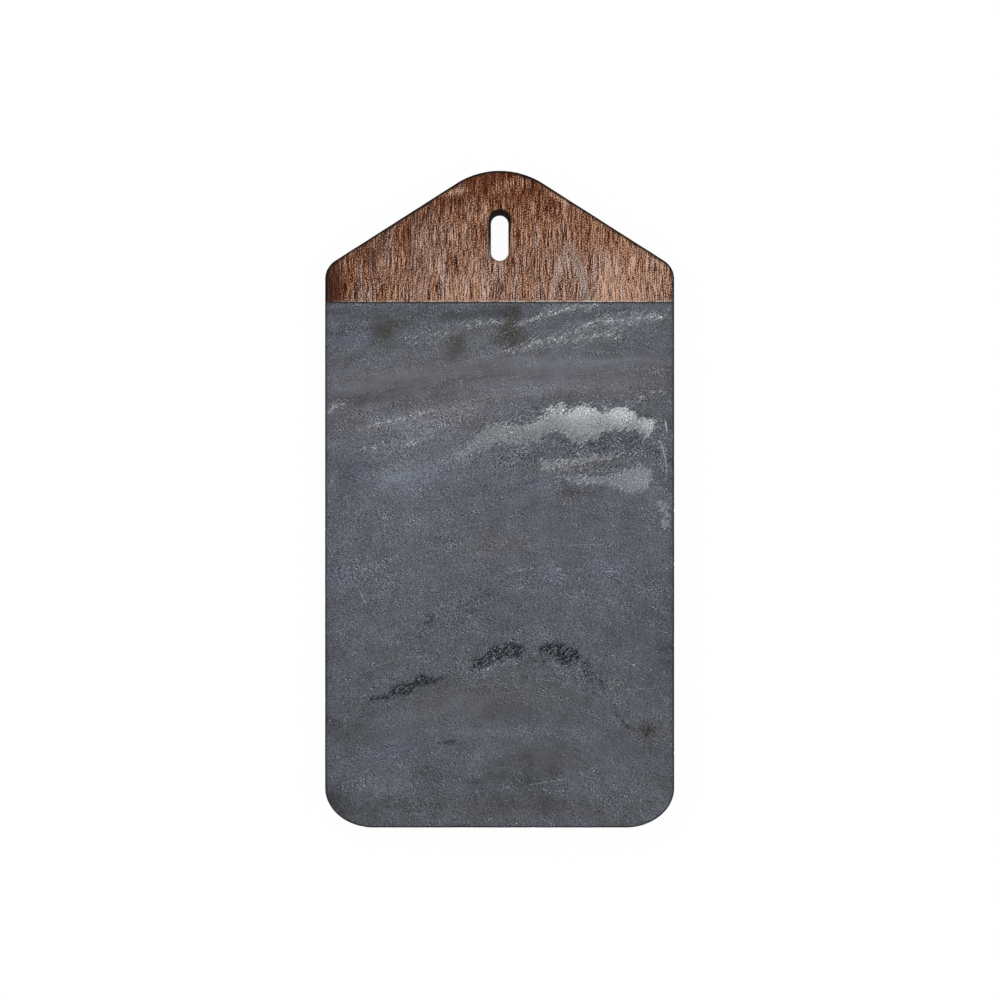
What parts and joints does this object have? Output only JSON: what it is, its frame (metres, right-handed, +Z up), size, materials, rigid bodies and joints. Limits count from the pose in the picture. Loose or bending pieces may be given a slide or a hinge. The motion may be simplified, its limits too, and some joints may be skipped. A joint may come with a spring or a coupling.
{
  "type": "serving board",
  "caption": "Flat serving board: a grey stone slab with rounded corners, edge-glued to a dark wooden gable end with a slot to hang it by.",
  "frame": {"origin": "on the table, under the middle of the board's box", "axes": "+Y along the board towards its wooden end, +Z up out of the serving face, +X to the right when the wooden end points away"},
  "size_m": [0.202, 0.38, 0.017],
  "materials": {
    "honed_stone": "honed, banded grey",
    "stained_wood": "dark brown, open grain, oiled",
    "epoxy": "cured dark epoxy bond line",
    "beech": "bare beech",
    "foot_rubber": "matt black rubber"
  },
  "bodies": {
    "root": {"stone_slab": "honed_stone", "wood_handle": "stained_wood", "joint_adhesive": "epoxy", "dowel_left": "beech", "dowel_right": "beech", "foot_front_left": "foot_rubber", "foot_front_right": "foot_rubber", "foot_rear_left": "foot_rubber", "foot_rear_right": "foot_rubber"}
  },
  "joints": []
}
